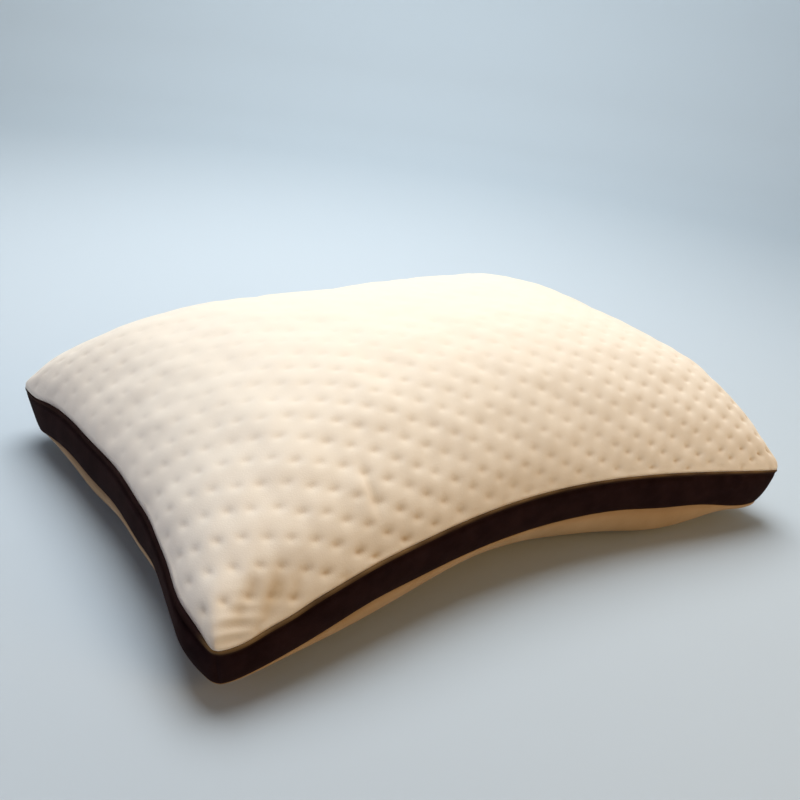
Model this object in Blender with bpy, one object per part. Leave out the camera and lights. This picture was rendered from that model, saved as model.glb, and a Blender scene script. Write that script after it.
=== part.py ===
"""A filled pillow: a dimpled knit top panel, a dark side band and a plain bottom panel.

Metres, +Z up. The pillow lies on its bottom panel, and the origin is under its middle,
on the surface that it lies on. X runs along the long sides and Y along the short ones.
Places on a panel are given by s and t, which run from -1 to 1 between opposite seams.
"""

import math

import bmesh
import bpy
from mathutils import Vector

# Outline, corner to corner, and how far the sides pull in at their middle
WIDTH = 0.600
DEPTH = 0.415
LONG_SIDE_DRAW = 0.033
SHORT_SIDE_DRAW = 0.013
DRAW_POWER = 1.9
SHORT_SIDE_SKEW = 0.4

# Seams: heights of the upper one, and the band between it and the lower one
BAND_HEIGHT = 0.032
SEAM_AT_CORNER = 0.045
LONG_SIDE_RISE = 0.023
SHORT_SIDE_RISE = 0.019
UPPER_CORNER_CUT = 0.0035
CORNER_REACH = 0.24
CORNER_SHARPNESS = 16

# Each corner's side along X and along Y, how far it stands above the lowest corner,
# and how far the lower seam is cut across it and so tucked under the upper one
CORNERS = (
    (-1, -1, 0.000, 0.011),
    (1, -1, 0.011, 0.016),
    (-1, 1, 0.004, 0.024),
    (1, 1, 0.005, 0.016),
)

# Filling: rise of the top above its seam, and how full the bottom panel is
CROWN = 0.087
CROWN_LEAN_X = 0.15
CROWN_LEAN_Y = 0.13
CROWN_SHAPE = ((4.4, 0.60), (3.3, 0.78))
BELLY_SHAPE = ((5.0, 0.42), (4.5, 0.45))
BELLY_FULLNESS = 1.10
BELLY_LEAN_X = 0.14
SWELL_START = 0.2

# Unevenness of the seams: a place's s and t, its spread along s and t, how far the upper seam
# moves out and up there, and how far the lower seam moves out and up
SEAM_WAVES = (
    (-1.00, 0.82, 0.15, 0.12, 0.0015, -0.0025, 0.0000, 0.0000),
    (-1.00, 0.24, 0.15, 0.22, 0.0015, -0.0025, 0.0020, -0.0030),
    (-1.00, -0.38, 0.15, 0.10, -0.0010, 0.0010, 0.0000, 0.0000),
    (-1.00, -0.48, 0.15, 0.16, 0.0000, 0.0000, -0.0030, 0.0030),
    (-1.00, -0.76, 0.15, 0.12, 0.0030, -0.0025, 0.0000, 0.0000),
    (-0.93, -1.00, 0.07, 0.15, 0.0000, -0.0048, 0.0000, 0.0000),
    (-0.82, -1.00, 0.05, 0.15, 0.0000, -0.0022, 0.0000, 0.0000),
    (-0.58, -1.00, 0.12, 0.15, 0.0000, 0.0015, 0.0000, 0.0022),
    (0.50, -1.00, 0.14, 0.15, 0.0000, 0.0000, 0.0000, -0.0030),
    (0.84, -1.00, 0.16, 0.15, 0.0000, 0.0000, 0.0000, -0.0055),
)

# Unevenness of the filling: a place's s and t, its spread, and how far the top rises there
TOP_SWELLS = (
    (-0.70, 0.70, 0.30, 0.25, 0.0045),
    (0.85, -0.58, 0.20, 0.28, 0.0060),
    (-1.00, 1.00, 0.08, 0.10, -0.0060),
    (1.00, -0.94, 0.08, 0.12, -0.0040),
    (-0.20, 0.48, 0.20, 0.25, -0.0028),
)

# The same for the belly between its seam and where it rests, and how far it hangs lower there
BELLY_SWELLS = (
    (-0.60, -1.00, 0.18, 0.30, 0.0055),
    (-0.15, -1.00, 0.20, 0.30, -0.0060),
    (0.05, -1.00, 0.12, 0.30, -0.0030),
    (0.52, -1.00, 0.22, 0.30, 0.0095),
    (0.78, -1.00, 0.10, 0.30, -0.0040),
    (-1.00, 0.30, 0.25, 0.35, 0.0070),
)

# The same for the band, and by what share its face stands out further there
BAND_SWELLS = (
    (-1.00, -0.86, 0.05, 0.09, 0.7),
    (-1.00, 0.90, 0.05, 0.14, -0.9),
)

# Grid that the band and the bottom panel share
PLAIN_COLUMNS = 32
PLAIN_ROWS = 24
PLAIN_CROWDING = (0.35, 0.35)

# Knit: half pitches across and along the top, its slant, and the depth of a dimple
KNIT_COLUMNS = 44
KNIT_ROWS = 44
KNIT_CROWDING = (0.122, 0.35)
KNIT_SLANT = 0.056
DIMPLE_DEPTH = 0.0022

# Band: how far its outer face stands out of the seam line, from the lower seam to the upper
BAND_FACE = (
    (0.00, 0.0000),
    (0.07, 0.0014),
    (0.22, 0.0032),
    (0.45, 0.0044),
    (0.68, 0.0040),
    (0.84, 0.0029),
    (0.91, 0.0014),
    (0.95, 0.0023),
    (0.99, 0.0018),
    (1.00, 0.0004),
)
BAND_THICKNESS = 0.0020
CORNER_TIGHTNESS = 0.8

# Hidden inside the band: the filled halves stand clear of it and meet on a level plane
GAP = 0.0003
CLEARANCE = 0.0014
TUCK = BAND_THICKNESS + CLEARANCE
MEETING_HEIGHT = 0.0424

CLOTH_ROUGHNESS = 0.9
COLOURS = {
    "top_panel": (0.84, 0.77, 0.66, 1.0),
    "side_band": (0.035, 0.022, 0.020, 1.0),
    "bottom_panel": (0.55, 0.42, 0.29, 1.0),
}


def clear_scene():
    for item in list(bpy.data.objects):
        bpy.data.objects.remove(item, do_unlink=True)


def make_collection(name):
    collection = bpy.data.collections.new(name)
    bpy.context.scene.collection.children.link(collection)
    return collection


def make_material(name):
    material = bpy.data.materials.new(name)
    material.use_nodes = True
    shader = material.node_tree.nodes["Principled BSDF"]
    shader.inputs["Base Color"].default_value = COLOURS[name]
    shader.inputs["Roughness"].default_value = CLOTH_ROUGHNESS
    shader.inputs["Metallic"].default_value = 0.0
    return material


def even(part, crowding):
    """A place from -1 to 1, with steps that shorten towards the seams, where the cloth turns down."""
    return part * (1 + crowding - crowding * part * part)


def bulge(place, shape):
    """One in the middle of a panel and nothing at its seams, for one direction."""
    power, roundness = shape
    return max(0.0, 1 - abs(place) ** power) ** roundness


def filled(s, t, shape):
    """How far the filling pushes a panel out, from nothing at the seams to one, with plump corners."""
    across = bulge(s, shape[0])
    along = bulge(t, shape[1])
    if across * along == 0.0:
        return 0.0
    return (across**-2 + along**-2 - 1) ** -0.5


def near(s, t, row):
    """One at the row's place, and falling away from it over its spread."""
    return math.exp(-(((s - row[0]) / row[2]) ** 2) - ((t - row[1]) / row[3]) ** 2)


def swell(s, t, table):
    return sum(row[4] * near(s, t, row) for row in table)


def seam_wave(s, t, column):
    return sum(row[column] * near(s, t, row) for row in SEAM_WAVES)


def outline(s, t, cut, level):
    """Where s and t lie in plan, at a level from 0 at the lower seam to 1 at the upper one.

    The sides curve in and wave, and a corner is rounded by the cut across it.
    """
    short_draw = SHORT_SIDE_DRAW * (1 + SHORT_SIDE_SKEW * t)
    x = s * (WIDTH / 2 - short_draw * (1 - t * t) ** DRAW_POWER)
    y = t * (DEPTH / 2 - LONG_SIDE_DRAW * (1 - s * s) ** DRAW_POWER)
    pulled = cut * abs(s * t) ** (CORNER_REACH / cut)
    shrink = 1 - pulled / math.hypot(WIDTH / 2, DEPTH / 2)
    wave = seam_wave(s, t, 6) + (seam_wave(s, t, 4) - seam_wave(s, t, 6)) * level
    return x * shrink - wave, y * shrink


def share(s, t, side_x, side_y):
    """How much of a corner's own value a place has, from one at that corner to nothing at the others."""
    return (1 + side_x * s) * (1 + side_y * t) / 4


def upper_seam(s, t):
    """Height of the upper seam at the edge. Between the edges it is the base that the crown rises from."""
    lift = sum(lift * share(s, t, side_x, side_y) for side_x, side_y, lift, _ in CORNERS)
    rise = LONG_SIDE_RISE * (1 - s * s) + SHORT_SIDE_RISE * (1 - t * t)
    return SEAM_AT_CORNER + lift + rise + seam_wave(s, t, 5)


def lower_seam(s, t):
    return upper_seam(s, t) - BAND_HEIGHT - seam_wave(s, t, 5) + seam_wave(s, t, 7)


def between_seams(s, t, level):
    low = lower_seam(s, t)
    return low + (upper_seam(s, t) - low) * level


def corner_cut(s, t, level):
    """The cut across a corner at a level from 0 at the lower seam to 1 at the upper one."""
    lower = sum(cut * share(s, t, side_x, side_y) for side_x, side_y, _, cut in CORNERS)
    return lower + (UPPER_CORNER_CUT - lower) * level


def top_point(s, t):
    x, y = outline(s, t, UPPER_CORNER_CUT, 1)
    lean = 1 + CROWN_LEAN_X * s + CROWN_LEAN_Y * t
    full = filled(s, t, CROWN_SHAPE)
    rise = CROWN * lean * full + swell(s, t, TOP_SWELLS) * min(1, full / SWELL_START)
    return x, y, upper_seam(s, t) + GAP + rise


def bottom_point(s, t):
    """The belly drops from the lower seam and is level where it rests."""
    x, y = outline(s, t, corner_cut(s, t, 0), 0)
    lean = 1 + BELLY_LEAN_X * s
    fill = min(1, BELLY_FULLNESS * lean * bulge(s, BELLY_SHAPE[0]) * bulge(t, BELLY_SHAPE[1]))
    sag = swell(s, t, BELLY_SWELLS) * 4 * fill * (1 - fill)
    return x, y, max(0.0, (lower_seam(s, t) - GAP) * (1 - fill) - sag)


def seam_places(columns, rows, crowding):
    """The s and t of points round the seam, anticlockwise from the corner at s = t = -1."""
    across = [even(2 * i / columns - 1, crowding[0]) for i in range(columns)]
    along = [even(2 * j / rows - 1, crowding[1]) for j in range(rows)]
    front = [(s, -1.0) for s in across]
    right = [(1.0, t) for t in along]
    back = [(-s, 1.0) for s in across]
    left = [(-1.0, -t) for t in along]
    return front + right + back + left


def offset_loop(points, distances):
    """The closed loop moved outwards in plan by each point's distance, with mitred corners."""
    moved = []
    for i, ((x, y), distance) in enumerate(zip(points, distances)):
        before_x, before_y = points[i - 1]
        after_x, after_y = points[(i + 1) % len(points)]
        first = math.atan2(y - before_y, x - before_x)
        second = math.atan2(after_y - y, after_x - x)
        half_turn = math.remainder(second - first, 2 * math.pi) / 2
        direction = first + half_turn - math.pi / 2
        reach = distance / math.cos(half_turn)
        moved.append((x + reach * math.cos(direction), y + reach * math.sin(direction)))
    return moved


def wall_loop(places, level, stand_out, at_corner):
    """Points round the side at a level from 0 at the lower seam to 1 at the upper one.

    They stand out of the seam line by stand_out, and by at_corner at the corners.
    """
    plan = [outline(s, t, corner_cut(s, t, level), level) for s, t in places]
    heights = [between_seams(s, t, level) for s, t in places]
    change = at_corner - stand_out
    distances = [stand_out + change * abs(s * t) ** CORNER_SHARPNESS for s, t in places]
    if stand_out > 0:
        distances = [d * (1 + swell(s, t, BAND_SWELLS)) for d, (s, t) in zip(distances, places)]
    return [(x, y, z) for (x, y), z in zip(offset_loop(plan, distances), heights)]


def extrude_loop(mesh, loop, points):
    """Extrudes the closed loop of vertices to the points, and returns the new loop in the same order."""
    order = {tuple(vertex.co): index for index, vertex in enumerate(loop)}
    members = set(loop)
    edges = {
        edge
        for vertex in loop
        for edge in vertex.link_edges
        if not edge.is_manifold and edge.other_vert(vertex) in members
    }
    made = bmesh.ops.extrude_edge_only(mesh, edges=list(edges))["geom"]
    new_loop = [item for item in made if isinstance(item, bmesh.types.BMVert)]
    new_loop.sort(key=lambda vertex: order[tuple(vertex.co)])
    for vertex, point in zip(new_loop, points):
        vertex.co = point
    return new_loop


def panel_grid(mesh, columns, rows, crowding, slant, point_at):
    """A grid bent into a panel. It returns the vertices by column and row."""
    bmesh.ops.create_grid(mesh, x_segments=columns, y_segments=rows, size=1.0)
    cells = {}
    for vertex in mesh.verts:
        column = round((vertex.co.x + 1) / 2 * columns)
        row = round((vertex.co.y + 1) / 2 * rows)
        cells[column, row] = vertex
    for (column, row), vertex in cells.items():
        across = even(2 * column / columns - 1, crowding[0])
        along = even(2 * row / rows - 1, crowding[1])
        s = across - slant * along * DEPTH / WIDTH * (1 - across * across)
        t = along + slant * across * WIDTH / DEPTH * (1 - along * along)
        vertex.co = point_at(s, t)
    return cells


def rim_of(cells, columns, rows):
    """The grid's edge vertices, in the order of seam_places."""
    front = [cells[i, 0] for i in range(columns)]
    right = [cells[columns, j] for j in range(rows)]
    back = [cells[columns - i, rows] for i in range(columns)]
    left = [cells[0, rows - j] for j in range(rows)]
    return front + right + back + left


def close_half(mesh, rim, places, seam_level, plane_height):
    """Tucks the rim in behind the band, runs along the band's inside and closes at the level plane."""
    lip = extrude_loop(mesh, rim, wall_loop(places, seam_level, -TUCK, -TUCK))
    low = wall_loop(places, 0.0, -TUCK, -TUCK)
    high = wall_loop(places, 1.0, -TUCK, -TUCK)
    crossing = []
    for low_point, high_point in zip(map(Vector, low), map(Vector, high)):
        level = (plane_height - low_point.z) / (high_point.z - low_point.z)
        crossing.append(low_point.lerp(high_point, level))
    inside = extrude_loop(mesh, lip, crossing)
    bmesh.ops.contextual_create(mesh, geom=inside)


def press_dimples(mesh, cells, columns, rows):
    """Presses every other grid point in, and splits each cell so that its two raised points join.

    The panel stays flat-shaded, because smooth shading would average the dimples away.
    """
    mesh.normal_update()
    dimples = {
        vertex: vertex.normal.copy()
        for (column, row), vertex in cells.items()
        if (column + row) % 2 == 0 and 0 < column < columns and 0 < row < rows
    }
    pads = {vertex for (column, row), vertex in cells.items() if (column + row) % 2 == 1}
    for face in list(mesh.faces):
        raised = [vertex for vertex in face.verts if vertex in pads]
        if len(face.verts) == 4 and len(raised) == 2:
            bmesh.utils.face_split(face, raised[0], raised[1])
    for vertex, normal in dimples.items():
        vertex.co -= normal * DIMPLE_DEPTH


def add_object(collection, name, mesh, is_smooth):
    bmesh.ops.recalc_face_normals(mesh, faces=mesh.faces)
    data = bpy.data.meshes.new(name)
    mesh.to_mesh(data)
    mesh.free()
    if is_smooth:
        data.shade_smooth()
    data.materials.append(make_material(name))
    item = bpy.data.objects.new(name, data)
    collection.objects.link(item)


def add_top_panel(collection):
    mesh = bmesh.new()
    cells = panel_grid(mesh, KNIT_COLUMNS, KNIT_ROWS, KNIT_CROWDING, KNIT_SLANT, top_point)
    press_dimples(mesh, cells, KNIT_COLUMNS, KNIT_ROWS)
    rim = rim_of(cells, KNIT_COLUMNS, KNIT_ROWS)
    places = seam_places(KNIT_COLUMNS, KNIT_ROWS, KNIT_CROWDING)
    close_half(mesh, rim, places, 1 + GAP / BAND_HEIGHT, MEETING_HEIGHT + GAP / 2)
    add_object(collection, "top_panel", mesh, is_smooth=False)


def add_bottom_panel(collection):
    mesh = bmesh.new()
    cells = panel_grid(mesh, PLAIN_COLUMNS, PLAIN_ROWS, PLAIN_CROWDING, 0.0, bottom_point)
    rim = rim_of(cells, PLAIN_COLUMNS, PLAIN_ROWS)
    places = seam_places(PLAIN_COLUMNS, PLAIN_ROWS, PLAIN_CROWDING)
    close_half(mesh, rim, places, -GAP / BAND_HEIGHT, MEETING_HEIGHT - GAP / 2)
    add_object(collection, "bottom_panel", mesh, is_smooth=True)


def add_side_band(collection):
    """The band's closed section, carried round the seam."""
    mesh = bmesh.new()
    places = seam_places(PLAIN_COLUMNS, PLAIN_ROWS, PLAIN_CROWDING)
    section = [(level, stand_out, stand_out * (1 - CORNER_TIGHTNESS)) for level, stand_out in BAND_FACE]
    section += [(level, -BAND_THICKNESS, -BAND_THICKNESS) for level in (1.0, 0.0)]
    rows = [
        wall_loop(places, level, stand_out, at_corner)
        for level, stand_out, at_corner in section
    ]
    first = bmesh.ops.create_circle(mesh, segments=len(places), radius=WIDTH)["verts"]
    for vertex, point in zip(first, rows[0]):
        vertex.co = point
    loop = first
    for points in rows[1:] + rows[:1]:
        loop = extrude_loop(mesh, loop, points)
    bmesh.ops.remove_doubles(mesh, verts=mesh.verts, dist=1e-6)
    add_object(collection, "side_band", mesh, is_smooth=True)


def main():
    clear_scene()
    pillow = make_collection("pillow")
    add_top_panel(pillow)
    add_side_band(pillow)
    add_bottom_panel(pillow)


main()
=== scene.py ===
"""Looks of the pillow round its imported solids: fine cloth surfaces, materials, light and camera.

Metres, +Z up. Places on a panel are given by s and t, which run from -1 to 1 between opposite
seams. Distances along the cloth are measured from the middle of the panel.
"""

import math

import bpy
import numpy as np
from mathutils import Matrix, Vector


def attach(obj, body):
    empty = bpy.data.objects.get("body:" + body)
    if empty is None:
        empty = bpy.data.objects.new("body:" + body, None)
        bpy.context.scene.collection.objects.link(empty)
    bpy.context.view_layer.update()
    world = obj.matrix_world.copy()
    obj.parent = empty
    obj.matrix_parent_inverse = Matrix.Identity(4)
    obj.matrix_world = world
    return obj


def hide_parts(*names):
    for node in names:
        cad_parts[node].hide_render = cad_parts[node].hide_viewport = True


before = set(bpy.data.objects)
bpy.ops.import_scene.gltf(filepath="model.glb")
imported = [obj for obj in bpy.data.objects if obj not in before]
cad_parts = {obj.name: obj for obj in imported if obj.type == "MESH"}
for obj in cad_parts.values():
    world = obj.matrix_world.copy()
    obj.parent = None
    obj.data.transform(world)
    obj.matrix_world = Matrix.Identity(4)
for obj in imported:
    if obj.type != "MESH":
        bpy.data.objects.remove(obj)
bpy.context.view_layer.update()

# Outline, corner to corner, and how far the sides pull in at their middle
WIDTH = 0.600
DEPTH = 0.415
LONG_SIDE_DRAW = 0.033
SHORT_SIDE_DRAW = 0.013
DRAW_POWER = 1.9
SHORT_SIDE_SKEW = 0.4

# Seams
BAND_HEIGHT = 0.032
SEAM_AT_CORNER = 0.045
LONG_SIDE_RISE = 0.023
SHORT_SIDE_RISE = 0.019
UPPER_CORNER_CUT = 0.0035
CORNER_REACH = 0.24
CORNER_SHARPNESS = 16
CORNERS = (  # side in x, side in y, lift of the seams, cut of the lower corner
    (-1, -1, 0.000, 0.011),
    (1, -1, 0.011, 0.016),
    (-1, 1, 0.004, 0.024),
    (1, 1, 0.005, 0.016),
)

# Filling: each shape is a power and a roundness across, and the same along
CROWN = 0.087
CROWN_LEAN_X = 0.15
CROWN_LEAN_Y = 0.13
CROWN_SHAPE = ((4.4, 0.60), (3.3, 0.78))
BELLY_SHAPE = ((5.0, 0.42), (4.5, 0.45))
BELLY_FULLNESS = 1.10
BELLY_LEAN_X = 0.14

# Unevenness of the seams: a place's s and t, its spread along s and t, how far the upper seam
# moves out and up there, and how far the lower seam moves out and up. Out is always to the left.
UPPER_OUT, UPPER_UP, LOWER_OUT, LOWER_UP = 4, 5, 6, 7
SEAM_WAVES = (
    (-1.0, 0.82, 0.15, 0.12, 0.0015, -0.0025, 0.0000, -0.0022),
    (-1.0, 0.24, 0.15, 0.22, 0.0015, -0.0025, 0.0020, -0.0030),
    (-1.0, -0.38, 0.15, 0.10, -0.0010, 0.0010, 0.0000, 0.0000),
    (-1.0, -0.48, 0.15, 0.16, 0.0000, 0.0000, -0.0030, 0.0030),
    (-1.0, -0.76, 0.15, 0.12, 0.0030, -0.0025, 0.0000, 0.0000),
    (-0.93, -1.0, 0.07, 0.15, 0.0000, -0.0048, 0.0000, 0.0000),
    (-0.82, -1.0, 0.05, 0.15, 0.0000, -0.0022, 0.0000, 0.0000),
    (-0.58, -1.0, 0.12, 0.15, 0.0000, 0.0015, 0.0000, 0.0022),
    (0.50, -1.0, 0.14, 0.15, 0.0000, 0.0000, 0.0000, -0.0030),
    (0.84, -1.0, 0.16, 0.15, 0.0000, 0.0000, 0.0000, -0.0055),
)

# Unevenness of the filling: a place's s and t, its spread, and how far the top rises there
TOP_SWELLS = (
    (-0.70, 0.70, 0.30, 0.25, 0.0045),
    (0.85, -0.58, 0.20, 0.28, 0.0060),
    (-1.00, 1.00, 0.08, 0.10, -0.0060),
    (1.00, -0.94, 0.08, 0.12, -0.0040),
    (-0.20, 0.48, 0.20, 0.25, -0.0028),
)

# Share of the crown's height from which on these places are whole
WHOLE_SWELL = 0.25

# The same for the bottom panel between its seam and where it rests, positive where it is fuller
BELLY_SWELLS = (
    (-0.60, -1.0, 0.18, 0.30, 0.0055),
    (-0.15, -1.0, 0.20, 0.30, -0.0060),
    (0.05, -1.0, 0.12, 0.30, -0.0030),
    (0.52, -1.0, 0.22, 0.30, 0.0095),
    (0.78, -1.0, 0.10, 0.30, -0.0040),
    (-1.0, 0.30, 0.25, 0.35, 0.0070),
    (-1.0, 0.80, 0.25, 0.16, -0.0075),
)

# Band: how far its face stands out of the seam line, from the lower seam to the upper
BAND_FACE = (
    (0.00, 0.0000),
    (0.07, 0.0014),
    (0.22, 0.0032),
    (0.45, 0.0044),
    (0.68, 0.0040),
    (0.84, 0.0029),
    (0.91, 0.0012),
    (0.95, 0.0025),
    (0.99, 0.0018),
    (1.00, 0.0004),
)
BAND_THICKNESS = 0.0020
CORNER_TIGHTNESS = 0.8
GAP = 0.0003
ROOM_BEHIND_BAND = 0.0014
TUCK = BAND_THICKNESS + ROOM_BEHIND_BAND
MEETING_HEIGHT = 0.0424
TINY = 1e-12

# Fine grids
TOP_COLUMNS = 340
TOP_ROWS = 264
TOP_CROWDING = (0.36, 0.36)
PLAIN_COLUMNS = 200
PLAIN_ROWS = 150
PLAIN_CROWDING = (0.35, 0.35)
BAND_LEVELS = 26
BAND_CROWDING = 0.85

# Knit: half a pitch each way along the cloth, and how the rows drift and bow. The count of half
# pitches across is the sum of 1, u, v and uvv, each times its ROWS_ACROSS. The count along is the
# sum of 1, u, v, uu, uvv and vvv, each times its ROWS_ALONG. Here u and v are the distances along
# the cloth over KNIT_SPAN.
HALF_PITCH_X = 0.01525
HALF_PITCH_Y = 0.01157
KNIT_SPAN = (0.3, 0.2)
ROWS_ACROSS = (16.46, 19.67, 0.40, 1.03)
ROWS_ALONG = (9.86, -1.53, 17.28, 1.10, -0.92, 0.48)

# One dimple: a narrow dip in a round hollow, a little out of place and uneven in depth
PIT_LENGTH = 0.0044
PIT_WIDTH = 0.0026
PIT_DEPTH = 0.00044
PIT_SHARPNESS = 1.5
PIT_SHIFT = 0.09
PIT_UNEVENNESS = 0.20
PIT_TABLE = 96
KNIT_SEED = 5
HOLLOW_RADIUS = 0.0056
HOLLOW_DEPTH = 0.00042
SEAM_FADE = 0.006

# How the dimples change over the cloth, as ramps: how much is added, and from where to where it
# grows. DEEPER_AT_EDGE runs over the distance from the front seam, the others over x or y.
DEEPER_TO_FRONT = (2.0, 0.0, -0.17)
DEEPER_TO_BACK = (-0.3, 0.0, 0.15)
DEEPER_ACROSS = ((-0.48, -0.24, 0.0), (0.22, 0.02, 0.18), (0.30, 0.20, 0.29))
DEEPER_AT_EDGE = (0.9, 0.045, 0.010)
DEEPER_AT_LEFT = (-0.28, -0.14, -0.24)
DEEPER_AT_FAR_CORNER = 0.9
DEEPER_BEHIND_CREST = 2.2
TIGHTER_ACROSS = ((-0.25, 0.0, 0.15), (-0.12, -0.14, -0.24))
LONGER_AT_LEFT = (0.30, -0.04, -0.20)
TURN_IN_MIDDLE = 0.38
TURN_ACROSS = ((0.62, -0.20, -0.30), (-0.60, 0.10, 0.28))
PUFFED_BY_DEPTH = 0.4
PUFFED_ACROSS = ((0.20, 0.0, 0.18), (-0.15, -0.12, -0.25))
CREST_START = 0.105
CREST_END = 0.15
CREST_SLANT = 0.3
CREST_BEND_X = -0.1

# Filling under the knit: wave length and height
FILLING_WAVES = ((0.075, 0.00020), (0.045, 0.00013), (0.027, 0.00009))
WAVES_OF_EACH = 6

# Places on the knit: x, y and spread both ways
FAR_CORNER = (-0.275, 0.15, 0.05, 0.09)
CREASE = (-0.1655, -0.178, 0.0042, 0.017)
CREASE_DEPTH = 0.0018
CREASE_SIDE = (-0.1745, -0.176, 0.0070, 0.020)
CREASE_SIDE_HEIGHT = 0.0014
CORNER_TIP = (-0.2895, -0.2145, 0.016, 0.014)
CORNER_DENTS = (  # x, y, radius, depth
    (-0.2700, -0.1990, 0.0075, 0.0015),
    (-0.2540, -0.2080, 0.0090, 0.0022),
    (-0.2400, -0.2140, 0.0075, 0.0012),
    (-0.2830, -0.2075, 0.0065, 0.0010),
    (-0.2640, -0.2180, 0.0075, 0.0014),
)
DENT_NARROWING = 0.8
PUCKER_PITCH = 0.0075
PUCKER_HEIGHT = 0.0007
PUCKER_WAY = (0.56, 0.83)

# How far painted shade takes the knit's colour from cream to tan. The painted shade along the front
# is a ramp over the distance from the front seam, which fades out between two places in x.
PIT_PAINTED_SHADE = 0.13
CREST_PAINTED_SHADE = 0.12
FAR_CORNER_PAINTED_SHADE = 0.10
CREASE_PAINTED_SHADE = 0.25
CORNER_PAINTED_SHADE = 0.12
CORNER_PAINTED_SHADE_PLACE = (-0.258, -0.208, 0.026, 0.018)
FRONT_PAINTED_SHADE = (0.36, 0.055, 0.005)
FRONT_PAINTED_SHADE_END = (-0.04, 0.12)
DENT_DEPTH_OF_FULL_PAINTED_SHADE = 0.0032

# Band: fuller and slacker places, as on the panels, and the painted highlight on the fold at its upper
# seam
BAND_SWELLS = (
    (-1, -0.86, 0.05, 0.09, 0.7),
    (-1, 0.90, 0.05, 0.14, -0.9),
)
FOLD_ALONG_FRONT = (0.9, 1.0)
FOLD_START = 0.955
FOLD_WIDENING = 0.085
FOLD_WIDE_REACH = 0.4
FOLD_EVENNESS = 0.7
FOLD_WAVES = (37, 23)
FOLD_WAVE_SHIFT = 1
FURROW_LEVEL = 0.93
FURROW_SPREAD = 0.03
FURROW_PAINTED_HIGHLIGHT = 0.12

# Colours
KNIT_CREAM = (0.84, 0.765, 0.64)
# The knit's colour under full painted shade
KNIT_PAINTED_SHADE = (0.60, 0.47, 0.31)
BAND_DARK = (0.0112, 0.0042, 0.0044)
BAND_LIGHT = (0.020, 0.0083, 0.0080)
# Colour of the painted highlight on the band's upper fold
BAND_FOLD_HIGHLIGHT = (0.18, 0.11, 0.048, 1)
BAND_GLOSS = 0.05
BOTTOM_DARK = (0.36, 0.235, 0.115)
BOTTOM_LIGHT = (0.41, 0.275, 0.145)
FLOOR_GREY = (0.48, 0.55, 0.60, 1)
SKY_GREY = (0.94, 0.97, 1.0, 1)
SKY_STRENGTH = 0.13
CLOTH_GLOSS = 0.2

# Floor: rings of these radii and heights. It lies a hair below the pillow's flat rest, so that the
# two never show through each other.
FLOOR_RADII = (0, 1.0, 2.2, 2.6, 2.9, 3.1, 3.2, 3.25)
FLOOR_HEIGHTS = (0, 0, 0, 0.06, 0.25, 0.6, 1.1, 4.0)
FLOOR_SIDES = 96
FLOOR_DROP = 0.0002

# Lights: name, place, size, power, colour and aim
PILLOW_MIDDLE = (0, 0, 0.08)
LIGHTS = (
    ("key", (0.08, 0.47, 1.50), 1.5, 32.0, (0.95, 0.95, 0.955), PILLOW_MIDDLE),
    ("left_fill", (-1.9, 0.20, 0.32), 1.2, 4.1, (0.95, 0.70, 0.98), PILLOW_MIDDLE),
    ("front_fill", (0.7, -1.9, 0.8), 1.3, 16, (1.0, 0.58, 0.20), PILLOW_MIDDLE),
    ("backdrop_light", (1.0, 1.5, 2.2), 1.6, 45, (0.95, 0.98, 1.0), (2.1, 2.8, 0.4)),
)

# Camera: azimuth, elevation and roll in degrees, the place it aims at and its distance from there
CAMERA_ANGLES = (-38.84, 22.32, 8.55)
CAMERA_AIM = (0.034, 0.067, 0.05)
CAMERA_DISTANCE = 0.9226
SENSOR_WIDTH = 36
FOCAL_LENGTH = 40.18


def even(part, crowding):
    return part * (1 + crowding - crowding * part * part)


def bulge(place, shape):
    power, roundness = shape
    return np.maximum(0.0, 1 - np.abs(place) ** power) ** roundness


def filled(s, t, shape):
    across = np.maximum(bulge(s, shape[0]), TINY)
    along = np.maximum(bulge(t, shape[1]), TINY)
    return (across**-2 + along**-2 - 1) ** -0.5


def outline(s, t, cut, level):
    short_draw = SHORT_SIDE_DRAW * (1 + SHORT_SIDE_SKEW * t)
    x = s * (WIDTH / 2 - short_draw * (1 - t * t) ** DRAW_POWER)
    y = t * (DEPTH / 2 - LONG_SIDE_DRAW * (1 - s * s) ** DRAW_POWER)
    pulled = cut * np.abs(s * t) ** (CORNER_REACH / cut)
    shrink = 1 - pulled / math.hypot(WIDTH / 2, DEPTH / 2)
    x, y = x * shrink, y * shrink
    lower_wave = seam_wave(s, t, LOWER_OUT)
    wave = lower_wave + (seam_wave(s, t, UPPER_OUT) - lower_wave) * level
    return x - wave, y


def share(s, t, side_x, side_y):
    return (1 + side_x * s) * (1 + side_y * t) / 4


def smooth(value, low, high):
    part = np.clip((value - low) / (high - low), 0, 1)
    return part * part * (3 - 2 * part)


def bump_at(x, y, at_x, at_y, radius_x, radius_y):
    return np.exp(-(((x - at_x) / radius_x) ** 2) - ((y - at_y) / radius_y) ** 2)


def seam_wave(s, t, column):
    return sum(row[column] * bump_at(s, t, *row[:4]) for row in SEAM_WAVES)


def swell(s, t, table):
    return sum(row[4] * bump_at(s, t, *row[:4]) for row in table)


def upper_seam(s, t):
    lift = sum(lift * share(s, t, side_x, side_y) for side_x, side_y, lift, _ in CORNERS)
    arch = LONG_SIDE_RISE * (1 - s * s) + SHORT_SIDE_RISE * (1 - t * t)
    return SEAM_AT_CORNER + lift + arch + seam_wave(s, t, UPPER_UP)


def lower_seam(s, t):
    return upper_seam(s, t) - BAND_HEIGHT - seam_wave(s, t, UPPER_UP) + seam_wave(s, t, LOWER_UP)


def corner_cut(s, t, level):
    lower = sum(cut * share(s, t, side_x, side_y) for side_x, side_y, _, cut in CORNERS)
    return lower + (UPPER_CORNER_CUT - lower) * level


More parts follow.
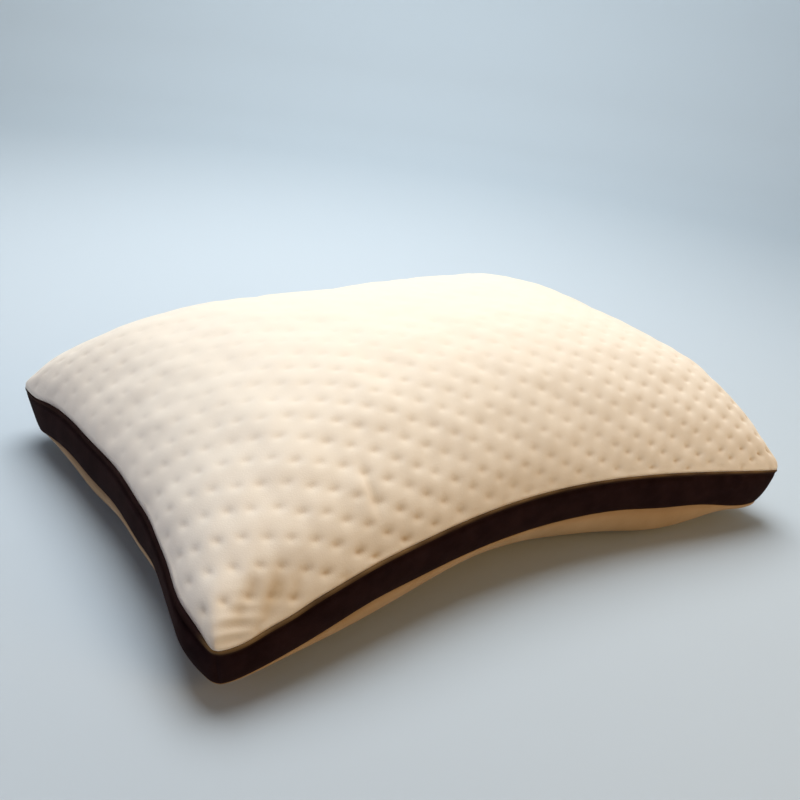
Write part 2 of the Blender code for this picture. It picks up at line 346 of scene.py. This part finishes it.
def top_form(s, t):
    x, y = outline(s, t, UPPER_CORNER_CUT, 1)
    lean = 1 + CROWN_LEAN_X * s + CROWN_LEAN_Y * t
    full = filled(s, t, CROWN_SHAPE)
    z = upper_seam(s, t) + GAP + CROWN * lean * full
    z += swell(s, t, TOP_SWELLS) * smooth(full, 0, WHOLE_SWELL)
    return np.stack([x, y, z], -1)


def bottom_form(s, t):
    x, y = outline(s, t, corner_cut(s, t, 0), 0)
    fill = BELLY_FULLNESS * (1 + BELLY_LEAN_X * s) * bulge(s, BELLY_SHAPE[0]) * bulge(t, BELLY_SHAPE[1])
    fill = np.minimum(1, fill)
    z = (lower_seam(s, t) - GAP) * (1 - fill) - swell(s, t, BELLY_SWELLS) * 4 * fill * (1 - fill)
    return np.stack([x, y, np.maximum(0, z)], -1)


def seam_places(columns, rows, crowding):
    across = even(2 * np.arange(columns) / columns - 1, crowding[0])
    along = even(2 * np.arange(rows) / rows - 1, crowding[1])
    s = np.concatenate([across, np.ones(rows), -across, -np.ones(rows)])
    t = np.concatenate([-np.ones(columns), along, np.ones(columns), -along])
    return s, t


def offset_loop(x, y, distance):
    first = np.arctan2(y - np.roll(y, 1), x - np.roll(x, 1))
    second = np.arctan2(np.roll(y, -1) - y, np.roll(x, -1) - x)
    half_turn = (np.mod(second - first + np.pi, 2 * np.pi) - np.pi) / 2
    direction = first + half_turn - np.pi / 2
    reach = distance / np.cos(half_turn)
    return x + reach * np.cos(direction), y + reach * np.sin(direction)


def wall_loop(s, t, level, stand_out, at_corner):
    x, y = outline(s, t, corner_cut(s, t, level), level)
    z = lower_seam(s, t) + (upper_seam(s, t) - lower_seam(s, t)) * level
    distance = stand_out + (at_corner - stand_out) * np.abs(s * t) ** CORNER_SHARPNESS
    x, y = offset_loop(x, y, distance)
    return np.stack([x, y, z], -1)


def make_object(name, points, faces, material):
    mesh = bpy.data.meshes.new(name)
    mesh.from_pydata(points.tolist(), [], faces)
    mesh.validate()
    mesh.shade_smooth()
    mesh.materials.append(material)
    item = bpy.data.objects.new(name, mesh)
    bpy.context.scene.collection.objects.link(item)
    return item


def grid_faces(columns, rows):
    index = np.arange((columns + 1) * (rows + 1)).reshape(columns + 1, rows + 1)
    faces = np.stack([index[:-1, :-1], index[1:, :-1], index[1:, 1:], index[:-1, 1:]], -1)
    rim = np.concatenate([index[:-1, 0], index[-1, :-1], index[:0:-1, -1], index[0, :0:-1]])
    return faces.reshape(-1, 4), rim


def ring_faces(lower, upper):
    return np.stack([lower, np.roll(lower, -1), np.roll(upper, -1), upper], -1)


def half_body(name, form, columns, rows, crowding, seam_level, plane_height, facing, material):
    """A panel with its hidden edge: tucked in behind the band and closed at the level plane."""
    faces, rim = grid_faces(columns, rows)
    s, t = seam_places(columns, rows, crowding)
    lip = wall_loop(s, t, seam_level, -TUCK, -TUCK)
    low = wall_loop(s, t, 0.0, -TUCK, -TUCK)
    high = wall_loop(s, t, 1.0, -TUCK, -TUCK)
    level = ((plane_height - low[:, 2]) / (high[:, 2] - low[:, 2]))[:, None]
    crossing = low + (high - low) * level
    count = len(form)
    size = len(rim)
    lip_index = np.arange(count, count + size)
    crossing_index = lip_index + size
    to_lip = ring_faces(rim, lip_index)[:, ::-1]
    to_crossing = ring_faces(lip_index, crossing_index)[:, ::-1]
    shell = np.concatenate([faces, to_lip, to_crossing])
    centre = np.full(size, count + 2 * size)
    cap = np.stack([np.roll(crossing_index, -1), crossing_index, centre], -1)
    every = shell.tolist() + cap.tolist()
    if facing < 0:
        every = [face[::-1] for face in every]
    points = np.concatenate([form, lip, crossing, [[0, 0, plane_height]]])
    return make_object(name, points, every, material)


def panel_places(columns, rows, crowding):
    across = even(2 * np.arange(columns + 1) / columns - 1, crowding[0])
    along = even(2 * np.arange(rows + 1) / rows - 1, crowding[1])
    return np.meshgrid(across, along, indexing="ij")


def cloth_lengths(points):
    """Distances along the cloth from the panel's middle lines."""
    columns, rows = points.shape[0] - 1, points.shape[1] - 1
    x = np.zeros(points.shape[:2])
    y = np.zeros(points.shape[:2])
    x[1:] = np.cumsum(np.linalg.norm(np.diff(points, axis=0), axis=-1), 0)
    y[:, 1:] = np.cumsum(np.linalg.norm(np.diff(points, axis=1), axis=-1), 1)
    return x - x[columns // 2], y - y[:, rows // 2, None]


def normals_of(points):
    along_s = np.gradient(points, axis=0)
    along_t = np.gradient(points, axis=1)
    normal = np.cross(along_s, along_t)
    return normal / np.maximum(np.linalg.norm(normal, axis=-1, keepdims=True), TINY)


def knit_rows(x, y):
    """Half pitches across and along the knit. Dimples stand where both are whole, their sum even."""
    u, v = x / KNIT_SPAN[0], y / KNIT_SPAN[1]
    m = sum(rate * term for rate, term in zip(ROWS_ACROSS, (1, u, v, u * v * v)))
    n = sum(rate * term for rate, term in zip(ROWS_ALONG, (1, u, v, u * u, u * v * v, v**3)))
    return m, n


def ramp(place, *rows):
    return sum(gain * smooth(place, start, end) for gain, start, end in rows)


def dimples(x, y, rng):
    """Depths of the pits and of the hollows, each 1 at the middle of an average dimple."""
    m, n = knit_rows(x, y)
    table = (PIT_TABLE, PIT_TABLE)
    shift_m = rng.uniform(-PIT_SHIFT, PIT_SHIFT, table)
    shift_n = rng.uniform(-PIT_SHIFT, PIT_SHIFT, table)
    strength = rng.uniform(1 - PIT_UNEVENNESS, 1 + PIT_UNEVENNESS, table)
    tighter = 1 + ramp(x, *TIGHTER_ACROSS)
    longer = 1 + ramp(x, LONGER_AT_LEFT)
    turn = TURN_IN_MIDDLE + ramp(x, *TURN_ACROSS)
    p, q = (m + n) / 2, (m - n) / 2
    pits = np.zeros_like(x)
    hollows = np.zeros_like(x)
    for step_p in (-1, 0, 1, 2):
        for step_q in (-1, 0, 1, 2):
            i, j = np.floor(p).astype(int) + step_p, np.floor(q).astype(int) + step_q
            a, b = (i + PIT_TABLE // 2) % PIT_TABLE, (j + PIT_TABLE // 2) % PIT_TABLE
            across = (m - (i + j) - shift_m[a, b]) * HALF_PITCH_X
            along = (n - (i - j) - shift_n[a, b]) * HALF_PITCH_Y
            long_way = (across * np.cos(turn) - along * np.sin(turn)) / PIT_LENGTH / longer
            short_way = (across * np.sin(turn) + along * np.cos(turn)) / PIT_WIDTH
            far = np.sqrt(long_way**2 + short_way**2) / tighter
            pits += strength[a, b] * np.exp(-(far**PIT_SHARPNESS))
            hollows += bump_at(across, along, 0, 0, HOLLOW_RADIUS, HOLLOW_RADIUS)
    return pits, hollows


def uneven_filling(x, y, rng):
    """Many shallow waves in all directions."""
    relief = np.zeros_like(x)
    for length, height in FILLING_WAVES:
        for heading, start in rng.uniform(0, 2 * np.pi, (WAVES_OF_EACH, 2)):
            way = (x * np.cos(heading) + y * np.sin(heading)) * 2 * np.pi / length
            relief += height * np.sin(way + start)
    return relief


def knit_relief(x, y):
    """How far the knit stands out of the filled form, and how much painted shade darkens it."""
    rng = np.random.default_rng(KNIT_SEED)
    pits, hollows = dimples(x, y, rng)
    front = y - y[:, :1]
    far_corner = bump_at(x, y, *FAR_CORNER)
    at_tip = bump_at(x, y, *CORNER_TIP)
    behind = smooth(y + CREST_SLANT * np.minimum(0, x - CREST_BEND_X), CREST_START, CREST_END)
    deeper = (1 + ramp(y, DEEPER_TO_FRONT)) * (1 + ramp(y, DEEPER_TO_BACK))
    deeper *= (1 + ramp(x, *DEEPER_ACROSS)) * (1 + ramp(front, DEEPER_AT_EDGE))
    deeper *= (1 + ramp(x, DEEPER_AT_LEFT)) * (1 + DEEPER_AT_FAR_CORNER * far_corner)
    deeper *= (1 + DEEPER_BEHIND_CREST * behind) * (1 - at_tip)
    puffed = (1 - PUFFED_BY_DEPTH + PUFFED_BY_DEPTH * deeper) * (1 + ramp(x, *PUFFED_ACROSS))
    relief = -HOLLOW_DEPTH * puffed * hollows - PIT_DEPTH * deeper * pits
    # Painted shade in the pits, stronger behind the crest and at the far corner
    shade = pits * (PIT_PAINTED_SHADE * deeper + CREST_PAINTED_SHADE * behind + FAR_CORNER_PAINTED_SHADE * far_corner)
    relief += uneven_filling(x, y, rng)
    # A short slack crease near the front, with painted shade in it
    crease = bump_at(x, y, *CREASE)
    relief += CREASE_SIDE_HEIGHT * bump_at(x, y, *CREASE_SIDE) - CREASE_DEPTH * crease
    shade += CREASE_PAINTED_SHADE * crease
    # Painted shade along the front and round the nearest corner, and dents and puckers at the nearest
    # corner, with painted shade in the dents
    shade += ramp(front, FRONT_PAINTED_SHADE) * (1 - smooth(x, *FRONT_PAINTED_SHADE_END))
    shade += CORNER_PAINTED_SHADE * bump_at(x, y, *CORNER_PAINTED_SHADE_PLACE)
    for at_x, at_y, radius, depth in CORNER_DENTS:
        dent = bump_at(x, y, at_x, at_y, radius * DENT_NARROWING, radius)
        relief -= depth * dent
        shade += depth / DENT_DEPTH_OF_FULL_PAINTED_SHADE * dent
    way = PUCKER_WAY[0] * (x - CORNER_TIP[0]) + PUCKER_WAY[1] * (y - CORNER_TIP[1])
    relief += PUCKER_HEIGHT * np.cos(way * 2 * np.pi / PUCKER_PITCH) * at_tip
    # All relief fades out at the seams
    rim_x = np.abs(x[[0, -1]]).min(0)[None] - np.abs(x)
    rim_y = np.abs(y[:, [0, -1]]).min(1)[:, None] - np.abs(y)
    return relief * smooth(np.minimum(rim_x, rim_y), 0, SEAM_FADE), shade


# Materials
def make_material(name, roughness, sheen, sheen_tint, sheen_roughness):
    material = bpy.data.materials.new(name)
    material.use_nodes = True
    shader = material.node_tree.nodes["Principled BSDF"]
    shader.inputs["Roughness"].default_value = roughness
    shader.inputs["Specular IOR Level"].default_value = CLOTH_GLOSS
    shader.inputs["Sheen Weight"].default_value = sheen
    shader.inputs["Sheen Tint"].default_value = sheen_tint
    shader.inputs["Sheen Roughness"].default_value = sheen_roughness
    return material, shader


def add_node(material, kind, **values):
    node = material.node_tree.nodes.new(kind)
    for name, value in values.items():
        if name in node.inputs:
            node.inputs[name].default_value = value
        else:
            setattr(node, name, value)
    return node


def link(material, start, end):
    material.node_tree.links.new(start, end)


def noise(material, scale, detail):
    node = add_node(material, "ShaderNodeTexNoise")
    node.inputs["Scale"].default_value = scale
    node.inputs["Detail"].default_value = detail
    place = add_node(material, "ShaderNodeTexCoord")
    link(material, place.outputs["Object"], node.inputs["Vector"])
    return node.outputs["Fac"]


def mixed(material, factor, first, second, low, high):
    node = add_node(material, "ShaderNodeValToRGB")
    node.color_ramp.elements[0].position = low
    node.color_ramp.elements[0].color = (*first, 1)
    node.color_ramp.elements[1].position = high
    node.color_ramp.elements[1].color = (*second, 1)
    link(material, factor, node.inputs["Fac"])
    return node.outputs["Color"]


def add_bump(material, shader, height, strength, distance):
    bump = add_node(material, "ShaderNodeBump")
    bump.inputs["Strength"].default_value = strength
    bump.inputs["Distance"].default_value = distance
    link(material, height, bump.inputs["Height"])
    link(material, bump.outputs["Normal"], shader.inputs["Normal"])


def knit_material():
    material, shader = make_material(
        "cream_knit", roughness=0.85, sheen=0.25, sheen_tint=(1.0, 0.93, 0.84, 1), sheen_roughness=0.5
    )
    # Painted shade: the attribute from the knit's relief darkens the cream towards tan
    painted_shade = add_node(material, "ShaderNodeAttribute", attribute_name="painted_shade").outputs["Fac"]
    colour = mixed(material, painted_shade, KNIT_CREAM, KNIT_PAINTED_SHADE, low=0.05, high=1.0)
    link(material, colour, shader.inputs["Base Color"])
    add_bump(material, shader, noise(material, scale=900, detail=3), strength=0.35, distance=0.0004)
    return material


def band_material():
    material, shader = make_material(
        "dark_brushed_cloth", roughness=0.95, sheen=0.06,
        sheen_tint=(0.42, 0.27, 0.20, 1), sheen_roughness=0.4,
    )
    shader.inputs["Specular IOR Level"].default_value = BAND_GLOSS
    patches = noise(material, scale=60, detail=4)
    cloth = mixed(material, patches, BAND_DARK, BAND_LIGHT, low=0.35, high=0.7)
    # Painted highlight on the band's upper fold and along its furrow
    rim = add_node(material, "ShaderNodeAttribute", attribute_name="rim").outputs["Fac"]
    blend = add_node(material, "ShaderNodeMix", data_type="RGBA")
    link(material, rim, blend.inputs["Factor"])
    link(material, cloth, blend.inputs["A"])
    blend.inputs["B"].default_value = BAND_FOLD_HIGHLIGHT
    link(material, blend.outputs["Result"], shader.inputs["Base Color"])
    add_bump(material, shader, noise(material, scale=700, detail=4), strength=0.5, distance=0.0005)
    return material


def bottom_material():
    material, shader = make_material(
        "beige_cloth", roughness=0.85, sheen=0.15, sheen_tint=(1.0, 0.85, 0.7, 1), sheen_roughness=0.5
    )
    patches = noise(material, scale=40, detail=3)
    colour = mixed(material, patches, BOTTOM_DARK, BOTTOM_LIGHT, low=0.3, high=0.7)
    link(material, colour, shader.inputs["Base Color"])
    add_bump(material, shader, noise(material, scale=900, detail=3), strength=0.3, distance=0.0004)
    return material


# Pieces
def add_top():
    s, t = panel_places(TOP_COLUMNS, TOP_ROWS, TOP_CROWDING)
    form = top_form(s, t)
    x, y = cloth_lengths(form)
    relief, shade = knit_relief(x, y)
    form = form + normals_of(form) * relief[..., None]
    piece = half_body(
        "knit_top", form.reshape(-1, 3), TOP_COLUMNS, TOP_ROWS, TOP_CROWDING,
        1 + GAP / BAND_HEIGHT, MEETING_HEIGHT + GAP / 2, 1, knit_material(),
    )
    # Painted shade for the knit's colour, one value for each point of the form
    layer = piece.data.attributes.new("painted_shade", "FLOAT", "POINT")
    values = np.zeros(len(piece.data.vertices))
    values[: shade.size] = np.clip(shade.ravel(), 0, 1)
    layer.data.foreach_set("value", values)
    return piece


def add_bottom():
    s, t = panel_places(PLAIN_COLUMNS, PLAIN_ROWS, PLAIN_CROWDING)
    form = bottom_form(s, t)
    return half_body(
        "plain_bottom", form.reshape(-1, 3), PLAIN_COLUMNS, PLAIN_ROWS, PLAIN_CROWDING,
        -GAP / BAND_HEIGHT, MEETING_HEIGHT - GAP / 2, -1, bottom_material(),
    )


def rounded_section():
    """The band's face as a smooth curve through its named rows."""
    levels, stands = np.array(BAND_FACE).T
    slopes = np.gradient(stands, levels)
    fine = np.linspace(0, 1, BAND_LEVELS + 1) ** BAND_CROWDING
    k = np.clip(np.searchsorted(levels, fine, side="right") - 1, 0, len(levels) - 2)
    gap = levels[k + 1] - levels[k]
    part = (fine - levels[k]) / gap
    first = (2 * part**3 - 3 * part**2 + 1) * stands[k] + (part**3 - 2 * part**2 + part) * gap * slopes[k]
    second = (-2 * part**3 + 3 * part**2) * stands[k + 1] + (part**3 - part**2) * gap * slopes[k + 1]
    return fine, first + second


def painted_fold_highlight(s, t, level):
    """Painted highlight where the band, thinner there, folds into the upper seam, mostly along the front,
    and a faint painted highlight along the furrow just below, away from the front.
    """
    waves = np.sin(FOLD_WAVES[0] * s + FOLD_WAVE_SHIFT) * np.sin(FOLD_WAVES[1] * s)
    fold = smooth(-t, *FOLD_ALONG_FRONT) * (FOLD_EVENNESS + (1 - FOLD_EVENNESS) * waves)
    start = FOLD_START - FOLD_WIDENING * np.exp(-(((s + 1) / FOLD_WIDE_REACH) ** 2))
    furrow = FURROW_PAINTED_HIGHLIGHT * np.exp(-(((level - FURROW_LEVEL) / FURROW_SPREAD) ** 2))
    return smooth(level, start, 1.0) * fold + furrow * (1 - fold)


def add_band():
    s, t = seam_places(PLAIN_COLUMNS, PLAIN_ROWS, PLAIN_CROWDING)
    levels, stands = rounded_section()
    fuller = 1 + swell(s, t, BAND_SWELLS)
    rows = []
    for level, stand in zip(levels, stands):
        face = stand * fuller
        rows.append(wall_loop(s, t, level, face, face * (1 - CORNER_TIGHTNESS)))
    rows.append(wall_loop(s, t, 1.0, -BAND_THICKNESS, -BAND_THICKNESS))
    rows.append(wall_loop(s, t, 0.0, -BAND_THICKNESS, -BAND_THICKNESS))
    count = len(s)
    index = np.arange(len(rows) * count).reshape(len(rows), count)
    faces = [ring_faces(index[k], index[(k + 1) % len(rows)]) for k in range(len(rows))]
    faces = np.concatenate(faces).tolist()
    piece = make_object("side_band_cloth", np.concatenate(rows), faces, band_material())
    # Painted highlight on the upper fold and the furrow, one value for each point
    rim = np.concatenate([painted_fold_highlight(s, t, level) for level in [*levels, 1.0, 0.0]])
    piece.data.attributes.new("rim", "FLOAT", "POINT").data.foreach_set("value", rim)
    return piece


def add_floor():
    """A pale floor that curves up all round, far from the pillow."""
    turns = np.linspace(0, 2 * np.pi, FLOOR_SIDES + 1)[:-1]
    rings = []
    for radius, height in zip(FLOOR_RADII, FLOOR_HEIGHTS):
        level = np.full(FLOOR_SIDES, height)
        rings.append(np.stack([radius * np.cos(turns), radius * np.sin(turns), level], -1))
    points = np.concatenate(rings)
    index = np.arange(len(points)).reshape(len(rings), FLOOR_SIDES)
    faces = np.concatenate([ring_faces(index[k + 1], index[k])[:, ::-1] for k in range(len(rings) - 1)])
    material, shader = make_material(
        "pale_floor", roughness=0.9, sheen=0.0, sheen_tint=(1, 1, 1, 1), sheen_roughness=0.5
    )
    shader.inputs["Base Color"].default_value = FLOOR_GREY
    floor = make_object("floor", points, faces.tolist(), material)
    floor.location.z = -FLOOR_DROP


def add_area(name, place, size, power, colour, aim):
    light = bpy.data.lights.new(name, "AREA")
    light.shape = "DISK"
    light.size = size
    light.energy = power
    light.color = colour
    item = bpy.data.objects.new(name, light)
    item.location = place
    item.rotation_euler = (Vector(aim) - Vector(place)).to_track_quat("-Z", "Y").to_euler()
    item.visible_camera = False
    bpy.context.scene.collection.objects.link(item)


def add_lights():
    for row in LIGHTS:
        add_area(*row)
    world = bpy.data.worlds.new("studio")
    world.use_nodes = True
    world.node_tree.nodes["Background"].inputs["Color"].default_value = SKY_GREY
    world.node_tree.nodes["Background"].inputs["Strength"].default_value = SKY_STRENGTH
    bpy.context.scene.world = world
    bpy.context.scene.view_settings.view_transform = "Standard"


def add_camera():
    azimuth, elevation, roll = (math.radians(angle) for angle in CAMERA_ANGLES)
    level = math.cos(elevation)
    back = Vector((math.sin(azimuth) * level, -math.cos(azimuth) * level, math.sin(elevation)))
    right = (-back).cross(Vector((0, 0, 1))).normalized()
    up = right.cross(-back)
    rolled_right = right * math.cos(roll) + up * math.sin(roll)
    rolled_up = up * math.cos(roll) - right * math.sin(roll)
    camera = bpy.data.cameras.new("camera")
    camera.sensor_width = SENSOR_WIDTH
    camera.lens = FOCAL_LENGTH
    item = bpy.data.objects.new("camera", camera)
    turn = Matrix((rolled_right, rolled_up, back)).transposed().to_4x4()
    item.matrix_world = Matrix.Translation(Vector(CAMERA_AIM) + back * CAMERA_DISTANCE) @ turn
    bpy.context.scene.collection.objects.link(item)
    bpy.context.scene.camera = item


top = add_top()
band = add_band()
bottom = add_bottom()
for piece, node, finish in (
    (top, "top_panel", "dimpled_knit"),
    (band, "side_band", "band_cloth"),
    (bottom, "bottom_panel", "plain_knit"),
):
    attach(piece, "root")
    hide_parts(node)
add_floor()
add_lights()
add_camera()
